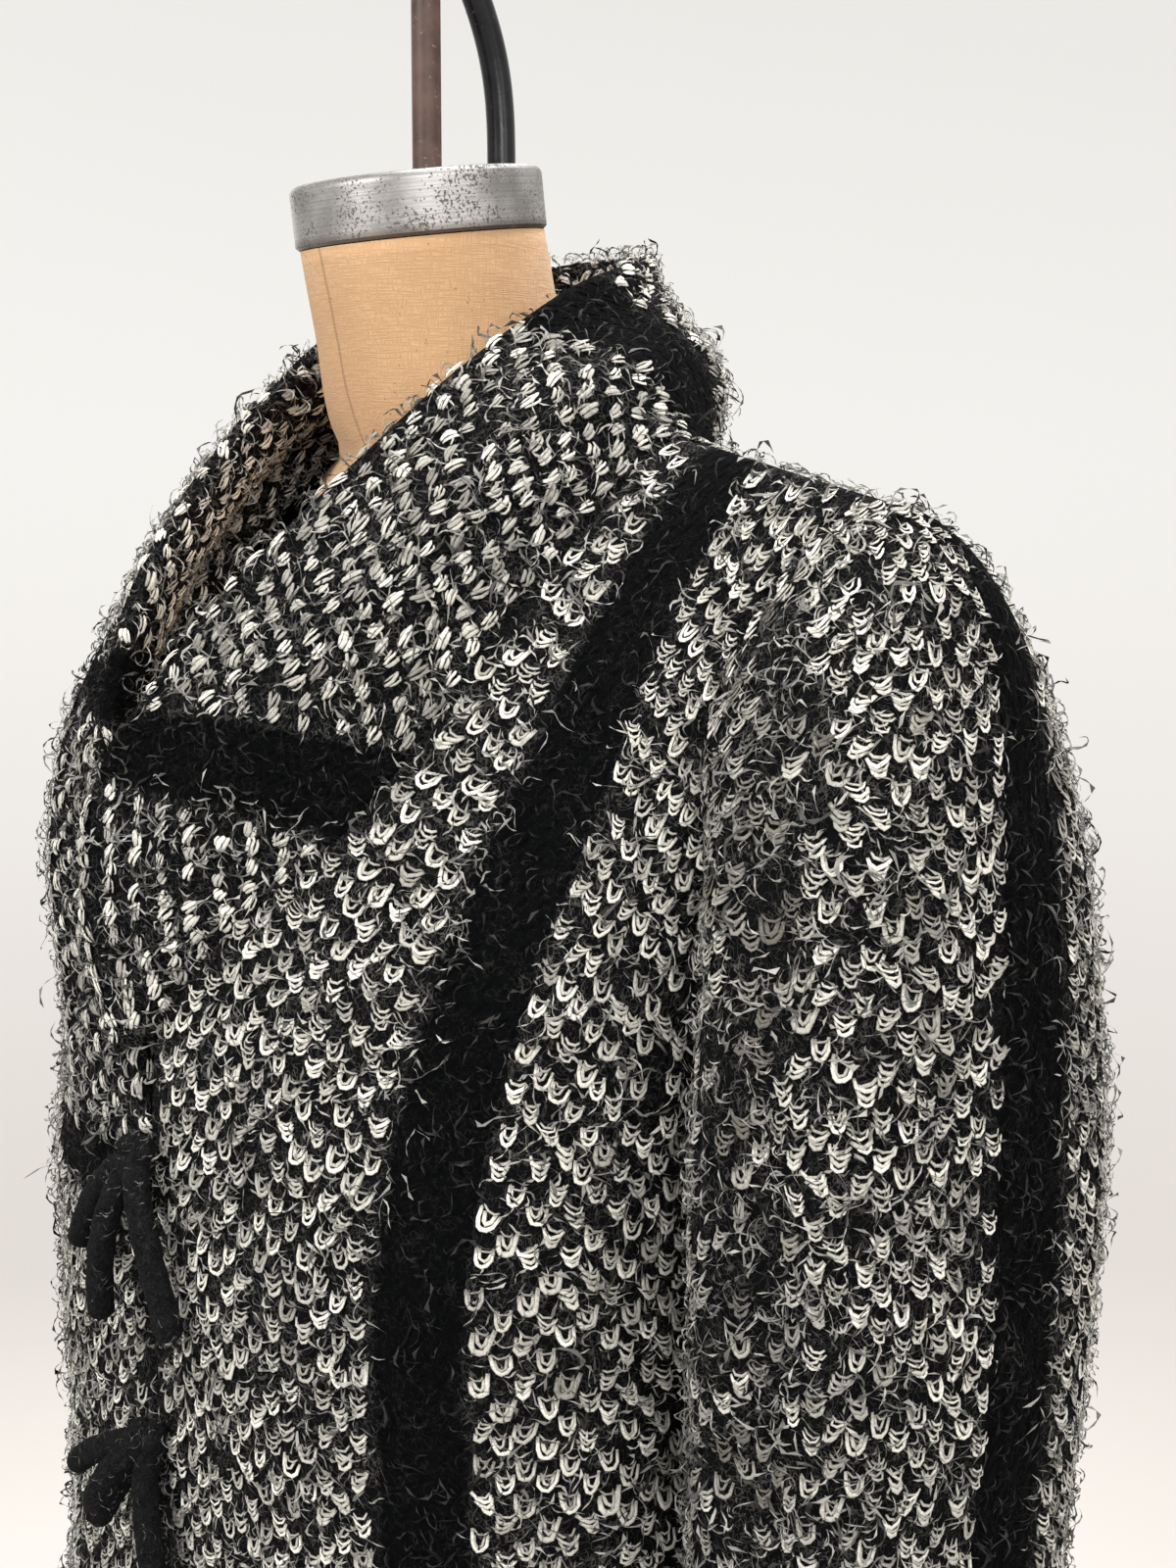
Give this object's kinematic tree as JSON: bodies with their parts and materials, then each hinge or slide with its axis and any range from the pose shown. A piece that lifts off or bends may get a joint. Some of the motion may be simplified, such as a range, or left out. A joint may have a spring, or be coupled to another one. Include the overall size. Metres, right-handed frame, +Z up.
{
  "type": "knit coat on a dress form",
  "caption": "Chunky tweed knit coat with a rolled shawl collar, tied open front and straight sleeves, worn on a limbless dress form on a round pole stand.",
  "frame": {"origin": "centre of the underside of the stand's base, on the floor", "axes": "+Z up, -Y towards the front of the coat, +X towards the wearer's left"},
  "size_m": [0.6704, 0.41, 1.69],
  "materials": {
    "mohair_tweed": "black and cream checked knit with broad black stripes, hairy",
    "felted_cord": "black felted knitted cord",
    "form_linen": "tan linen, stretched over a solid form",
    "cast_aluminium": "turned, dull, pitted",
    "brown_paint": "satin, worn",
    "blackened_steel": "dark, polished",
    "cast_iron_paint": "black paint, satin"
  },
  "bodies": {
    "root": {"coat_back": "mohair_tweed", "coat_front_left": "mohair_tweed", "coat_front_right": "mohair_tweed", "collar": "mohair_tweed", "sleeve_left": "mohair_tweed", "sleeve_right": "mohair_tweed", "tie_upper": "felted_cord", "tie_lower": "felted_cord", "form_torso": "form_linen", "neck_cap": "cast_aluminium", "hanging_rod": "brown_paint", "curved_bar": "blackened_steel", "stand_pole": "brown_paint", "stand_base": "cast_iron_paint"}
  },
  "joints": []
}
